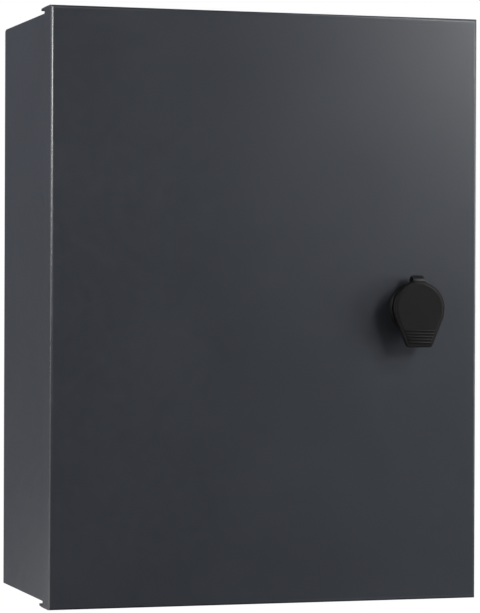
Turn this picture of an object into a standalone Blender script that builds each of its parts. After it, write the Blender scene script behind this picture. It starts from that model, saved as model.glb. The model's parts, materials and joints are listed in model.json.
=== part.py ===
"""Wall mounted mailbox: a sheet steel box with a lockable full-front door and an inlet lid on top.

Metres, +Z up. The origin is the centre of the back face, which lies against the wall.
The door faces -Y, its hinge is on the left (-X) and its lock on the right (+X).
"""

import math

import bmesh
import bpy
from mathutils import Matrix, Vector

# Driving dimensions
DOOR_WIDTH = 0.302
DOOR_HEIGHT = 0.400
DEPTH = 0.158  # wall to the front face of the door
DOOR_SHEET = 0.0015
BODY_SHEET = 0.0012
DOOR_GAP = 0.0015  # air between the door's flanges and the body
DOOR_STANDOFF = 0.0025  # air between the door panel and the front of the body
WELD_GAP = 0.0003  # between pieces that touch
DOOR_BEND = 0.0025  # outside radius of the folds
BODY_BEND = 0.0020
BACK_BEND = 0.0030
HEM_FLANGE = 0.032  # depth of the door's top and bottom flanges
SIDE_FLANGE = 0.019  # depth of the door's side flanges
FLANGE_MITRE = 0.0010  # how far the ends of the deep flanges are drawn in

OVER = 0.002  # how far a cutter reaches past the metal
EDGE_BREAK = 0.0004  # chamfer on the ends of turned pieces

# Body
RETURN_WIDTH = 0.012
TRAY_LIP = 0.025
TRAY_FLANGE = 0.012
DRAIN_RADIUS = 0.0025
DRAIN_INSET = (0.105, 0.030)  # from the middle of the tray along x, from its ends along y
SCREW_HOLE_RADIUS = 0.0035
SCREW_HOLE_X = 0.105
SCREW_HOLE_TOP_DROP = 0.077  # below the top of the body
SCREW_HOLE_BOTTOM_RISE = 0.047  # above the bottom of the body

# Door hinge
PIVOT_INSET = 0.0055  # hinge axis to the side face of the body
PIVOT_EDGE = 0.005  # hinge axis to the back edge of the door's top and bottom flanges
PIN_RADIUS = 0.002
PIN_CLEARANCE = 0.0003
PIN_HEAD_RADIUS = 0.0035
PIN_HEAD_LENGTH = 0.0027
WASHER_RADIUS = 0.005
BRACKET_DROP = 0.0195  # outer face of the body to the far face of the pin bracket
BRACKET_SHEET = 0.0015
BRACKET_WIDTH = 0.0115
BRACKET_DEPTH = 0.020
BRACKET_CREASE = 0.0003  # inside radius of its fold
CLIP_SHEET = 0.0006
CLIP_RADIUS = 0.0038
CLIP_ENDS = (-60.0, 240.0)  # degrees, either side of the gap in the ring
PIN_GROOVE_DEPTH = 0.0005

# Rain gutter and inlet lid
RAIL_MARGIN = 0.004  # the front rail reaches this far behind the door's top flange
RAIL_SKIRT = 0.015
END_CHAMFER = 0.0010  # clears the inside of the body's front folds
GUTTER_DEPTH = 0.007
GUTTER_WIDTH = 0.015
GUTTER_LIP = 0.0045
SIDE_GUTTER_WIDTH = 0.0135
SIDE_GUTTER_SKIRT = 0.0055
LID_FRONT_GAP = 0.004
LID_SIDE_GAP = 0.0013
LID_SKIRT = 0.005
LID_ROLL = 0.007  # radius of the rolled back edge, round the hinge rod
LID_ROLL_END = -40.0  # degrees, where the roll ends below the rod
LID_WINDOW_GAP = 0.0007  # end of the roll to the back panel
LID_TAB_WIDTH = 0.080
LID_TAB_RISE = 0.0030
LID_TAB_REACH = 0.0045
LID_PAD_X = 0.095
LID_PAD_SIZE = (0.012, 0.006)
ROD_RADIUS = 0.002
EAR_X = 0.119
EAR_SHEET = 0.002
EAR_CLEARANCE = 0.0008  # ear's eye to the inside of the lid's roll
EAR_EYE_ENDS = (-128.0, 185.0)  # degrees, where the eye runs into the arm
EAR_ARM_GAP = 0.0035  # arm to the front of the roll
EAR_ARM_LENGTH = 0.017
EAR_FOOT = 0.012
ROD_CLIP_RADIUS = 0.0042
ROD_CLIP_LENGTH = 0.0015
ROD_CLIP_RIM = 0.0006

# Anti-theft baffle
BAFFLE_FLANGE = 0.006
BAFFLE_HEM = 0.006
BAFFLE_SIDE = 0.010  # depth of the stiffening cheek at each end
BAFFLE_THROAT = 0.045  # from the baffle's lower edge to the wall

# Lock, measured outwards from the door's front face where no other datum is named
LOCK_INSET = 0.047  # lock axis to the right edge of the door
LOCK_Z = 0.0
BASE_RADIUS = 0.0175
BASE_HEIGHT = 0.006
BASE_FLOOR = 0.0015
HEAD_OVERHANG = 0.002  # lock head past its shank
HEAD_HEIGHT = 0.0055
SHANK_RADIUS = 0.008
SHANK_BEHIND = 0.0065  # shank behind the door sheet
BARREL_WALL = 0.0023  # shank to key plug
KEY_SLOT = (0.0016, 0.0070, 0.0035)
STUD_SHARE = 0.6  # half the stud's width, as a share of the plug's radius
NUT_SHARE = 3.0  # across flats, in shank radii
NUT_THICK = 0.004
CAM_SHEET = 0.002
CAM_REACH = 0.038
CAM_HUB_RADIUS = 0.009
CAM_HALF_WIDTH = 0.0075
CAM_WASHER_RADIUS = 0.0055
CAM_WASHER_THICK = 0.0008
SCREW_RADIUS = 0.0022
SCREW_HEAD_RADIUS = 0.0045
SCREW_HEAD_HEIGHT = 0.003
SCREW_SOCKET_RADIUS = 0.0025
SCREW_SOCKET_DEPTH = 0.0018
SCREW_DEPTH = 0.004  # thread inside the plug
STRIKE_SHEET = 0.002
STRIKE_HEIGHT = 0.050
STRIKE_CORNER = 0.0015
STRIKE_INNER_REACH = 0.004  # past the inner edge of the body's return
RIVET_Z = 0.019
RIVET_RADIUS = 0.0016
RIVET_HEAD_RADIUS = 0.003
RIVET_HEAD_HEIGHT = 0.001
RIVET_TAIL_RADIUS = 0.0022
BUMPER_RADIUS = 0.004
BUMPER_Z = 0.150

# Weather cap
CAP_OVERHANG = 0.00095  # cap past its base
CAP_FRONT = 0.015  # front face of the cap
CAP_PLATE = 0.004
CAP_EDGE = 0.0006  # bevel round the front
CAP_TAB_REACH = 0.008  # tab below the cap's disc
CAP_TAB_HALF = 0.009
CAP_TAB_CORNER = 0.0015
CAP_TAB_PLATE = 0.0026
CAP_NECK_HALF = 0.004
CAP_NECK_RISE = 0.0016  # neck above the top of the base
CAP_FLARE = 68.0  # degrees, where the disc runs into the neck
CAP_FILLET = 0.0006
CAP_PLUG_INSET = 0.0031  # cap's ring inside the outside of the base
CAP_PLUG_GAP = 0.0004
CAP_PLUG_WALL = 0.002
CAP_PLUG_DEPTH = 0.007
RIB_COUNT = 5
RIB_PITCH = 0.002
RIB_RISE = 0.011  # first rib above the end of the tab
RIB_SIZE = (0.0009, 0.0005)
RIB_MARGIN = 0.0025
TAB_LEAN = 0.3  # how much wider the tab gets on each side, per unit of height
STRAP_STANDOFF = 0.008  # middle of the strap's arch to the door's front face
STRAP_RADIUS = 0.0053
STRAP_SHEET = 0.0012

CIRCLE_SIDES = 32
FOLD_STEPS = 4

# Derived places
DOOR_HALF = DOOR_WIDTH / 2
DOOR_TOP = DOOR_HEIGHT / 2
DOOR_FRONT = -DEPTH
DOOR_BACK = DOOR_FRONT + DOOR_SHEET
BODY_HALF = DOOR_HALF - DOOR_SHEET - DOOR_GAP
BODY_TOP = DOOR_TOP - DOOR_SHEET - DOOR_GAP
BODY_FRONT = DOOR_BACK + DOOR_STANDOFF
INNER_HALF = BODY_HALF - BODY_SHEET
PANEL_HALF = INNER_HALF - WELD_GAP  # pieces welded in between the sides
PIVOT_X = -BODY_HALF + PIVOT_INSET
PIVOT_Y = DOOR_FRONT + HEM_FLANGE - PIVOT_EDGE
PIN_HOLE = PIN_RADIUS + PIN_CLEARANCE
RETURN_BACK = BODY_FRONT + BODY_SHEET
RAIL_FRONT = RETURN_BACK + WELD_GAP
RAIL_BACK = DOOR_FRONT + HEM_FLANGE + RAIL_MARGIN
GUTTER_TOP = BODY_TOP - GUTTER_DEPTH
GUTTER_BACK = RAIL_BACK + GUTTER_WIDTH
BAFFLE_TOP = GUTTER_TOP - SIDE_GUTTER_SKIRT - 2 * WELD_GAP
BAFFLE_RUN = -GUTTER_BACK - BAFFLE_HEM - BAFFLE_THROAT  # sloping part, along y and along z
LID_HALF = INNER_HALF - LID_SIDE_GAP
LID_FRONT = RAIL_BACK + LID_FRONT_GAP
LID_BOTTOM = BODY_TOP - LID_SKIRT
ROD_Y = -LID_ROLL
ROD_Z = BODY_TOP - LID_ROLL
BACK_TOP = ROD_Z + LID_ROLL * math.sin(math.radians(LID_ROLL_END)) - LID_WINDOW_GAP
EAR_EYE_RADIUS = LID_ROLL - BODY_SHEET - EAR_CLEARANCE
LOCK_X = DOOR_HALF - LOCK_INSET
SHANK_END = DOOR_BACK + SHANK_BEHIND
CAM_FRONT = SHANK_END + 2 * WELD_GAP
CAM_BACK = CAM_FRONT + CAM_SHEET
STRAP_Y = DOOR_FRONT - STRAP_STANDOFF
STRAP_RISE = BASE_RADIUS - WELD_GAP / 3  # middle of the arch above the lock axis
STRAP_Z = LOCK_Z + STRAP_RISE
HEAD_RADIUS = SHANK_RADIUS + HEAD_OVERHANG
PLUG_RADIUS = SHANK_RADIUS - BARREL_WALL
STUD_HALF = PLUG_RADIUS * STUD_SHARE
CAP_RADIUS = BASE_RADIUS + CAP_OVERHANG
CAP_TAB_DROP = CAP_RADIUS + CAP_TAB_REACH
CAP_NECK_TOP = BASE_RADIUS + CAP_NECK_RISE
CAP_PLUG_RADIUS = BASE_RADIUS - CAP_PLUG_INSET
BASE_BORE = CAP_PLUG_RADIUS + CAP_PLUG_GAP
RETURN_MIDDLE = BODY_HALF - RETURN_WIDTH / 2
STRIKE_BACK = RETURN_BACK + WELD_GAP + STRIKE_SHEET


# Outlines

def arc(centre, radius, start, end, steps):
    """Points on an arc, with its angles in degrees."""
    points = []
    for step in range(steps + 1):
        angle = math.radians(start + (end - start) * step / steps)
        points.append((centre[0] + radius * math.cos(angle), centre[1] + radius * math.sin(angle)))
    return points


def circle(centre, radius, sides=CIRCLE_SIDES):
    return arc(centre, radius, 0, 360, sides)[:-1]


def rectangle(low, high):
    return [(low[0], low[1]), (high[0], low[1]), (high[0], high[1]), (low[0], high[1])]


def folded(path, sheet, bend):
    """Closed outline of a folded sheet.

    path is the face on the left of the sheet's run, and bend the outside radius of each fold.
    """
    corners = [Vector(point) for point in path]
    runs = [(after - before).normalized() for before, after in zip(corners, corners[1:])]
    across = [Vector((run.y, -run.x)) for run in runs]
    near = [corners[0]]
    far = [corners[0] + across[0] * sheet]
    for corner, run, side, following in zip(corners[1:], runs, across, runs[1:]):
        angle = run.angle_signed(following)
        turn = 1 if angle > 0 else -1  # angle_signed is positive clockwise
        near_radius = bend if turn > 0 else bend - sheet
        far_radius = near_radius - turn * sheet
        centre = corner - run * near_radius * math.tan(abs(angle) / 2) + side * near_radius * turn
        for step in range(FOLD_STEPS + 1):
            spoke = -side * turn
            spoke.rotate(Matrix.Rotation(-angle * step / FOLD_STEPS, 2))
            near.append(centre + spoke * near_radius)
            far.append(centre + spoke * far_radius)
    near.append(corners[-1])
    far.append(corners[-1] + across[-1] * sheet)
    return [tuple(point) for point in near + far[::-1]]


# Meshes

PLANES = {
    "XY": lambda a, b, along: (a, b, along),
    "XZ": lambda a, b, along: (a, along, b),
    "YZ": lambda a, b, along: (along, a, b),
}


def prism(outline, plane, low, high):
    """An outline in a plane, extruded from low to high along the third axis."""
    mesh = bmesh.new()
    place = PLANES[plane]
    rings = [[mesh.verts.new(place(a, b, along)) for a, b in outline] for along in (low, high)]
    mesh.faces.new(rings[0])
    mesh.faces.new(rings[1])
    for index in range(len(outline)):
        after = (index + 1) % len(outline)
        corners = (rings[0][index], rings[0][after], rings[1][after], rings[1][index])
        mesh.faces.new(corners)
    bmesh.ops.recalc_face_normals(mesh, faces=mesh.faces)
    return mesh


def block(low, high):
    """A box between two corners."""
    return prism(rectangle(low[:2], high[:2]), "XY", low[2], high[2])


def turned(profile, sides=CIRCLE_SIDES):
    """A closed profile of (radius, height) points turned round Z."""
    mesh = bmesh.new()
    rings = []
    for radius, height in profile:
        if radius == 0:
            rings.append([mesh.verts.new((0, 0, height))])
        else:
            rings.append([mesh.verts.new((x, y, height)) for x, y in circle((0, 0), radius, sides)])
    for ring, after in zip(rings, rings[1:] + rings[:1]):
        if len(ring) == len(after) == 1:
            continue
        for index in range(sides):
            following = (index + 1) % sides
            corners = [ring[index % len(ring)], ring[following % len(ring)]]
            corners += [after[following % len(after)], after[index % len(after)]]
            mesh.faces.new(list(dict.fromkeys(corners)))
    bmesh.ops.recalc_face_normals(mesh, faces=mesh.faces)
    return mesh


def facing(mesh, direction, centre):
    """Turns a mesh made round Z so that its Z points along direction, and moves it to centre."""
    turn = Vector((0, 0, 1)).rotation_difference(Vector(direction)).to_matrix().to_4x4()
    bmesh.ops.transform(mesh, matrix=Matrix.Translation(centre) @ turn, verts=mesh.verts)
    return mesh


def bevel_edges(mesh, chosen, width, segments):
    """Rounds the edges for which chosen(first end, second end) holds."""
    edges = [edge for edge in mesh.edges if chosen(*(vert.co for vert in edge.verts))]
    bmesh.ops.bevel(
        mesh, geom=edges, offset=width, segments=segments, profile=0.5, affect="EDGES"
    )
    return mesh


# Objects

def make_object(name, mesh, material, joint=None):
    data = bpy.data.meshes.new(name)
    mesh.to_mesh(data)
    mesh.free()
    data.shade_smooth()
    data.set_sharp_from_angle(angle=math.radians(30))
    data.materials.append(material)
    part = bpy.data.objects.new(name, data)
    bpy.context.scene.collection.objects.link(part)
    if joint:
        data.transform(Matrix.Translation(-joint.location))
        part.parent = joint
    return part


def combine(part, mesh, operation="DIFFERENCE"):
    """Cuts a mesh out of the part, or joins it on with a UNION."""
    tool = make_object(f"{part.name}_{operation.lower()}", mesh, part.data.materials[0])
    tool.hide_render = True
    tool.display_type = "WIRE"
    modifier = part.modifiers.new(tool.name, "BOOLEAN")
    modifier.operation = operation
    modifier.object = tool
    return part


def make_joint(name, location):
    """An empty on the axis that a body turns on."""
    joint = bpy.data.objects.new(name, None)
    joint.empty_display_size = 0.02
    joint.location = location
    bpy.context.scene.collection.objects.link(joint)
    return joint


def make_material(name, colour, roughness, metallic=0.0):
    material = bpy.data.materials.new(name)
    material.use_nodes = True
    shader = material.node_tree.nodes["Principled BSDF"]
    shader.inputs["Base Color"].default_value = (*colour, 1)
    shader.inputs["Roughness"].default_value = roughness
    shader.inputs["Metallic"].default_value = metallic
    return material


def make_materials():
    return {
        "powder_coat": make_material("powder_coat", (0.045, 0.050, 0.056), 0.45),
        "plated": make_material("plated_steel", (0.62, 0.62, 0.60), 0.35, 1.0),
        "zinc": make_material("die_cast_zinc", (0.70, 0.71, 0.72), 0.22, 1.0),
        "cap_plastic": make_material("cap_plastic", (0.016, 0.016, 0.016), 0.5),
        "rubber": make_material("black_rubber", (0.02, 0.02, 0.02), 0.75),
        "nylon": make_material("white_nylon", (0.80, 0.79, 0.75), 0.5),
    }


# Body

def body_shell(material):
    """Sides, back and front returns, folded from one sheet."""
    half_return = BODY_HALF - RETURN_WIDTH
    path = [
        (-half_return, BODY_FRONT),
        (-BODY_HALF, BODY_FRONT),
        (-BODY_HALF, 0),
        (BODY_HALF, 0),
        (BODY_HALF, BODY_FRONT),
        (half_return, BODY_FRONT),
    ]
    outline = folded(path, BODY_SHEET, BACK_BEND)
    shell = make_object("body_shell", prism(outline, "XY", -BODY_TOP, BODY_TOP), material)
    corner = arc((ROD_Y, ROD_Z), LID_ROLL, 90, 0, 6)
    corner += [(OVER, ROD_Z), (OVER, BODY_TOP + OVER), (ROD_Y, BODY_TOP + OVER)]
    combine(shell, prism(corner, "YZ", -BODY_HALF - OVER, BODY_HALF + OVER))
    window_half = INNER_HALF - LID_SIDE_GAP + 2 * WELD_GAP
    window_low = (-window_half, -BACK_BEND - OVER, BACK_TOP)
    combine(shell, block(window_low, (window_half, OVER, BODY_TOP + OVER)))
    for side in (-1, 1):
        for height in (BODY_TOP - SCREW_HOLE_TOP_DROP, SCREW_HOLE_BOTTOM_RISE - BODY_TOP):
            hole = circle((side * SCREW_HOLE_X, height), SCREW_HOLE_RADIUS)
            combine(shell, prism(hole, "XZ", -BODY_SHEET - OVER, OVER))
    for height in (-RIVET_Z, RIVET_Z):
        hole = circle((RETURN_MIDDLE, LOCK_Z + height), RIVET_RADIUS + WELD_GAP, 20)
        combine(shell, prism(hole, "XZ", BODY_FRONT - OVER, RETURN_BACK + OVER))
    return shell


def bottom_tray(material):
    """Floor with a lip that keeps the mail in, flanges on the other sides and four drain holes."""
    back = -BODY_SHEET - WELD_GAP
    low = (-PANEL_HALF, RAIL_FRONT, -BODY_TOP)
    mesh = block(low, (PANEL_HALF, back, -BODY_TOP + TRAY_LIP))
    bevel_edges(mesh, lambda a, b: abs(a.z - b.z) > TRAY_FLANGE, BACK_BEND, FOLD_STEPS)
    bevel_edges(mesh, lambda a, b: max(a.z, b.z) < -BODY_TOP + 1e-6, BODY_BEND, FOLD_STEPS)
    tray = make_object("bottom_tray", mesh, material)
    inner_low = (-PANEL_HALF + BODY_SHEET, RAIL_FRONT + BODY_SHEET, -BODY_TOP + BODY_SHEET)
    above = -BODY_TOP + TRAY_LIP + OVER
    combine(tray, block(inner_low, (PANEL_HALF - BODY_SHEET, back - BODY_SHEET, above)))
    trim_low = (-PANEL_HALF - OVER, RAIL_FRONT + BODY_SHEET + WELD_GAP, -BODY_TOP + TRAY_FLANGE)
    combine(tray, block(trim_low, (PANEL_HALF + OVER, back + OVER, above)))
    floor = (-BODY_TOP - OVER, -BODY_TOP + BODY_SHEET + OVER)
    for side in (-1, 1):
        for y in (RAIL_FRONT + DRAIN_INSET[1], -DRAIN_INSET[1]):
            hole = circle((side * DRAIN_INSET[0], y), DRAIN_RADIUS, 20)
            combine(tray, prism(hole, "XY", *floor))
    combine(tray, prism(circle((PIVOT_X, PIVOT_Y), PIN_HOLE), "XY", *floor))
    return tray


def front_rail(material):
    """Top front rail, folded down behind into the gutter in front of the lid."""
    path = [
        (RAIL_FRONT, BODY_TOP - RAIL_SKIRT),
        (RAIL_FRONT, BODY_TOP),
        (RAIL_BACK, BODY_TOP),
        (RAIL_BACK, GUTTER_TOP),
        (GUTTER_BACK, GUTTER_TOP),
        (GUTTER_BACK, GUTTER_TOP + GUTTER_LIP),
    ]
    outline = folded(path, BODY_SHEET, BODY_BEND)
    rail = make_object("front_rail", prism(outline, "YZ", -PANEL_HALF, PANEL_HALF), material)
    pin_hole = circle((PIVOT_X, PIVOT_Y), PIN_HOLE)
    combine(rail, prism(pin_hole, "XY", BODY_TOP - BODY_SHEET - OVER, BODY_TOP + OVER))
    inner = PANEL_HALF - SIDE_GUTTER_WIDTH - BODY_SHEET
    for side in (-1, 1):
        corner = [
            (side * (PANEL_HALF - END_CHAMFER), RAIL_FRONT),
            (side * PANEL_HALF, RAIL_FRONT + END_CHAMFER),
            (side * (PANEL_HALF + OVER), RAIL_FRONT + END_CHAMFER),
            (side * (PANEL_HALF + OVER), RAIL_FRONT - OVER),
            (side * (PANEL_HALF - END_CHAMFER), RAIL_FRONT - OVER),
        ]
        combine(rail, prism(corner, "XY", BODY_TOP - RAIL_SKIRT - OVER, BODY_TOP + OVER))
        ends = sorted((side * inner, side * (PANEL_HALF + OVER)))
        low = (ends[0], GUTTER_BACK - BODY_BEND, GUTTER_TOP + WELD_GAP)
        high = (ends[1], GUTTER_BACK + BODY_BEND, GUTTER_TOP + GUTTER_LIP + OVER)
        combine(rail, block(low, high))
    return rail


def side_gutter(name, side, material):
    """Gutter under one end of the lid. side is 1 on the right and -1 on the left."""
    inner = PANEL_HALF - SIDE_GUTTER_WIDTH
    path = [
        (-PANEL_HALF, GUTTER_TOP - SIDE_GUTTER_SKIRT),
        (-PANEL_HALF, GUTTER_TOP),
        (-inner, GUTTER_TOP),
        (-inner, GUTTER_TOP + GUTTER_LIP),
    ]
    outline = [(-side * x, z) for x, z in folded(path, BODY_SHEET, BODY_BEND)]
    front = GUTTER_BACK + BODY_SHEET + WELD_GAP
    back = -2 * LID_ROLL - 2 * WELD_GAP
    return make_object(name, prism(outline, "XZ", front, back), material)


def baffle(material):
    """Sloping plate under the inlet, which keeps hands and rods out of the box."""
    top = BAFFLE_TOP
    start = GUTTER_BACK
    path = [
        (start, top - BAFFLE_FLANGE),
        (start, top),
        (start + BAFFLE_RUN, top - BAFFLE_RUN),
        (start + BAFFLE_RUN + BAFFLE_HEM, top - BAFFLE_RUN),
    ]
    outline = folded(path, BODY_SHEET, BODY_BEND)
    plate = make_object("anti_theft_baffle", prism(outline, "YZ", -PANEL_HALF, PANEL_HALF), material)
    margin = BODY_SHEET / 2
    cheek = [
        (start + margin, top - 2 * BODY_BEND - margin),
        (start + BAFFLE_RUN - BODY_BEND, top - BAFFLE_RUN + BODY_BEND - 2 * margin),
        (start + BAFFLE_RUN - BODY_BEND, top - BAFFLE_RUN - BAFFLE_SIDE),
        (start + margin, top - 2 * BODY_BEND - BAFFLE_SIDE),
    ]
    for side in (-1, 1):
        outside = side * (PANEL_HALF - WELD_GAP)
        span = sorted((outside, outside - side * BODY_SHEET))
        combine(plate, prism(cheek, "YZ", *span), "UNION")
    return plate


# Door hinge: one set at the top (level 1) and its mirror image at the bottom (level -1)

def hinge_pin(name, level, material):
    """Headed pin that comes out of the body into the door's flange."""
    head_end = BODY_TOP - BRACKET_DROP - WELD_GAP
    groove = head_end + WELD_GAP + BRACKET_SHEET + PIN_CLEARANCE
    neck = PIN_RADIUS - PIN_GROOVE_DEPTH
    profile = [
        (0, head_end - PIN_HEAD_LENGTH),
        (PIN_HEAD_RADIUS - EDGE_BREAK, head_end - PIN_HEAD_LENGTH),
        (PIN_HEAD_RADIUS, head_end - PIN_HEAD_LENGTH + EDGE_BREAK),
        (PIN_HEAD_RADIUS, head_end),
        (PIN_RADIUS, head_end),
        (PIN_RADIUS, groove),
        (neck, groove),
        (neck, groove + 2 * CLIP_SHEET),
        (PIN_RADIUS, groove + 2 * CLIP_SHEET),
        (PIN_RADIUS, DOOR_TOP - 2 * PIN_CLEARANCE),
        (PIN_RADIUS - PIN_CLEARANCE, DOOR_TOP - PIN_CLEARANCE),
        (0, DOOR_TOP - PIN_CLEARANCE),
    ]
    mesh = turned([(radius, level * height) for radius, height in profile], 24)
    pin = make_object(name, mesh, material)
    pin.location = (PIVOT_X, PIVOT_Y, 0)
    return pin


def hinge_bracket(name, level, material):
    """Small angle on the body's side that holds the head end of the pin."""
    low = BODY_TOP - BRACKET_DROP
    high = BODY_TOP - TRAY_FLANGE - WELD_GAP  # short of the tray's flange
    path = [(-PANEL_HALF, high), (-PANEL_HALF, low), (-PANEL_HALF + BRACKET_WIDTH, low)]
    outline = folded(path[::-1], BRACKET_SHEET, BRACKET_SHEET + BRACKET_CREASE)
    outline = [(x, level * z) for x, z in outline]
    mesh = prism(outline, "XZ", PIVOT_Y - BRACKET_DEPTH / 2, PIVOT_Y + BRACKET_DEPTH / 2)
    bracket = make_object(name, mesh, material)
    ends = sorted((level * (low - BRACKET_SHEET), level * (low + 2 * BRACKET_SHEET)))
    combine(bracket, prism(circle((PIVOT_X, PIVOT_Y), PIN_HOLE), "XY", *ends))
    half = CLIP_RADIUS + 2 * PIN_CLEARANCE
    room = sorted((level * (low + BRACKET_SHEET), level * (high + BRACKET_SHEET)))
    room_low = (-PANEL_HALF - BRACKET_SHEET, PIVOT_Y - half, room[0])
    room_high = (-PANEL_HALF + 2 * BRACKET_SHEET, PIVOT_Y + half, room[1])
    return combine(bracket, block(room_low, room_high))


def hinge_clip(name, level, material):
    """Open ring in the pin's groove."""
    inner = PIN_RADIUS - PIN_GROOVE_DEPTH + PIN_CLEARANCE
    start, end = CLIP_ENDS
    outline = arc((0, 0), CLIP_RADIUS, start, end, 24) + arc((0, 0), inner, end, start, 24)
    height = BODY_TOP - BRACKET_DROP + BRACKET_SHEET + 2 * PIN_CLEARANCE
    ends = sorted((level * height, level * (height + CLIP_SHEET)))
    clip = make_object(name, prism(outline, "XY", *ends), material)
    clip.location = (PIVOT_X, PIVOT_Y, 0)
    return clip


def hinge_washer(name, level, material):
    """Nylon ring between the body and the door's flange."""
    low, high = BODY_TOP + WELD_GAP, DOOR_TOP - DOOR_SHEET - WELD_GAP
    profile = rectangle((PIN_HOLE, level * low), (WASHER_RADIUS, level * high))
    washer = make_object(name, turned(profile), material)
    washer.location = (PIVOT_X, PIVOT_Y, 0)
    return washer


# Inlet lid

def inlet_lid(joint, material):
    """Lid with a rolled back edge round the hinge rod, a front skirt and a raised finger tab."""
    skirt = [(LID_FRONT, LID_BOTTOM), (LID_FRONT, BODY_TOP), (ROD_Y, BODY_TOP)]
    sheet = folded(skirt, BODY_SHEET, BODY_BEND)
    middle = len(sheet) // 2
    roll = arc((ROD_Y, ROD_Z), LID_ROLL, 90, LID_ROLL_END, 10)
    roll += arc((ROD_Y, ROD_Z), LID_ROLL - BODY_SHEET, LID_ROLL_END, 90, 10)
    outline = sheet[: middle - 1] + roll + sheet[middle + 1 :]
    lid = make_object("inlet_lid", prism(outline, "YZ", -LID_HALF, LID_HALF), material, joint)
    under = BODY_SHEET / 4  # the end cheeks lie this far inside the sheet
    radius = LID_ROLL - under
    end = [(LID_FRONT + under, LID_BOTTOM + under), (ROD_Y - LID_ROLL, LID_BOTTOM + under)]
    end += arc((ROD_Y, ROD_Z), radius, 170, 450, 20)
    end += [(LID_FRONT + BODY_BEND, BODY_TOP - under), (LID_FRONT + under, BODY_TOP - BODY_BEND)]
    for side in (-1, 1):
        span = sorted((side * (LID_HALF - under), side * (LID_HALF - under - BODY_SHEET)))
        combine(lid, prism(end, "YZ", *span), "UNION")
        hole = circle((ROD_Y, ROD_Z), ROD_RADIUS + PIN_CLEARANCE)
        reach = sorted((side * (LID_HALF + OVER), side * (LID_HALF - BODY_SHEET - OVER)))
        combine(lid, prism(hole, "YZ", *reach))
    half = LID_TAB_WIDTH / 2
    notch_low = (-half - BODY_SHEET, LID_FRONT - OVER, LID_BOTTOM - OVER)
    notch_high = (half + BODY_SHEET, LID_FRONT + BODY_BEND, BODY_TOP + OVER)
    combine(lid, block(notch_low, notch_high))
    root = LID_FRONT + BODY_BEND + BODY_SHEET
    path = [
        (LID_FRONT - LID_TAB_REACH + BODY_BEND, BODY_TOP + LID_TAB_RISE - under),
        (LID_FRONT + BODY_BEND / 2, BODY_TOP - under),
        (root, BODY_TOP - under),
    ]
    tab = folded(path, BODY_SHEET * 3 / 4, BODY_BEND)
    return combine(lid, prism(tab, "YZ", -half, half), "UNION")


def lid_hinge_rod(material):
    half = PANEL_HALF - WELD_GAP
    profile = [
        (0, -half),
        (ROD_RADIUS - EDGE_BREAK, -half),
        (ROD_RADIUS, -half + EDGE_BREAK),
        (ROD_RADIUS, half - EDGE_BREAK),
        (ROD_RADIUS - EDGE_BREAK, half),
        (0, half),
    ]
    rod = make_object("lid_hinge_rod", turned(profile, 24), material)
    rod.rotation_euler = (0, math.pi / 2, 0)
    rod.location = (0, ROD_Y, ROD_Z)
    return rod


def hinge_ear(name, side, material):
    """Hook-shaped ear on the back panel that carries the rod clear of the lid's roll."""
    front = ROD_Y - LID_ROLL - EAR_ARM_GAP
    below = ROD_Z - LID_ROLL - EAR_CLEARANCE
    wall = -BODY_SHEET - WELD_GAP
    outline = arc((ROD_Y, ROD_Z), EAR_EYE_RADIUS, *EAR_EYE_ENDS, 24)
    outline += [
        (front, ROD_Z - LID_ROLL / 3),
        (front, below - EAR_ARM_LENGTH * 2 / 3),
        (wall, below - EAR_ARM_LENGTH),
        (wall, below),
        (ROD_Y - LID_ROLL * 2 / 3, below),
    ]
    half = EAR_SHEET / 2
    span = sorted((side * (EAR_X - half), side * (EAR_X + half)))
    ear = make_object(name, prism(outline, "YZ", *span), material)
    foot = sorted((side * (EAR_X - EAR_FOOT), side * (EAR_X + half / 2)))
    margin = EAR_SHEET / 8
    foot_low = (foot[0], wall - EAR_SHEET, below - EAR_ARM_LENGTH + margin)
    combine(ear, block(foot_low, (foot[1], wall - margin, below - margin)), "UNION")
    reach = sorted((side * (EAR_X - EAR_SHEET), side * (EAR_X + EAR_SHEET)))
    return combine(ear, prism(circle((ROD_Y, ROD_Z), ROD_RADIUS + PIN_CLEARANCE), "YZ", *reach))


def rod_clip(name, side, material):
    """Push-on ring that keeps the rod from sliding out of its ears."""
    bore = ROD_RADIUS + PIN_CLEARANCE
    half = ROD_CLIP_LENGTH / 2
    profile = [
        (bore, -half),
        (ROD_CLIP_RADIUS, -half),
        (ROD_CLIP_RADIUS, half / 3),
        (bore + ROD_CLIP_RIM, half),
        (bore, half),
    ]
    clip = make_object(name, turned(profile, 24), material)
    clip.rotation_euler = (0, -side * math.pi / 2, 0)
    clip.location = (side * (EAR_X - EAR_SHEET / 2 - WELD_GAP - half), ROD_Y, ROD_Z)
    return clip


def lid_pad(name, side, material):
    """Rubber pad in the gutter, which the lid's front skirt rests on."""
    width, depth = LID_PAD_SIZE
    middle = LID_FRONT + BODY_SHEET / 2
    low = (side * LID_PAD_X - width / 2, middle - depth / 2, GUTTER_TOP + WELD_GAP)
    high = (side * LID_PAD_X + width / 2, middle + depth / 2, LID_BOTTOM - WELD_GAP)
    mesh = block(low, high)
    bevel_edges(mesh, lambda a, b: min(a.z, b.z) > LID_BOTTOM - 2 * WELD_GAP, EDGE_BREAK, 2)
    return make_object(name, mesh, material)


# Door

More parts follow.
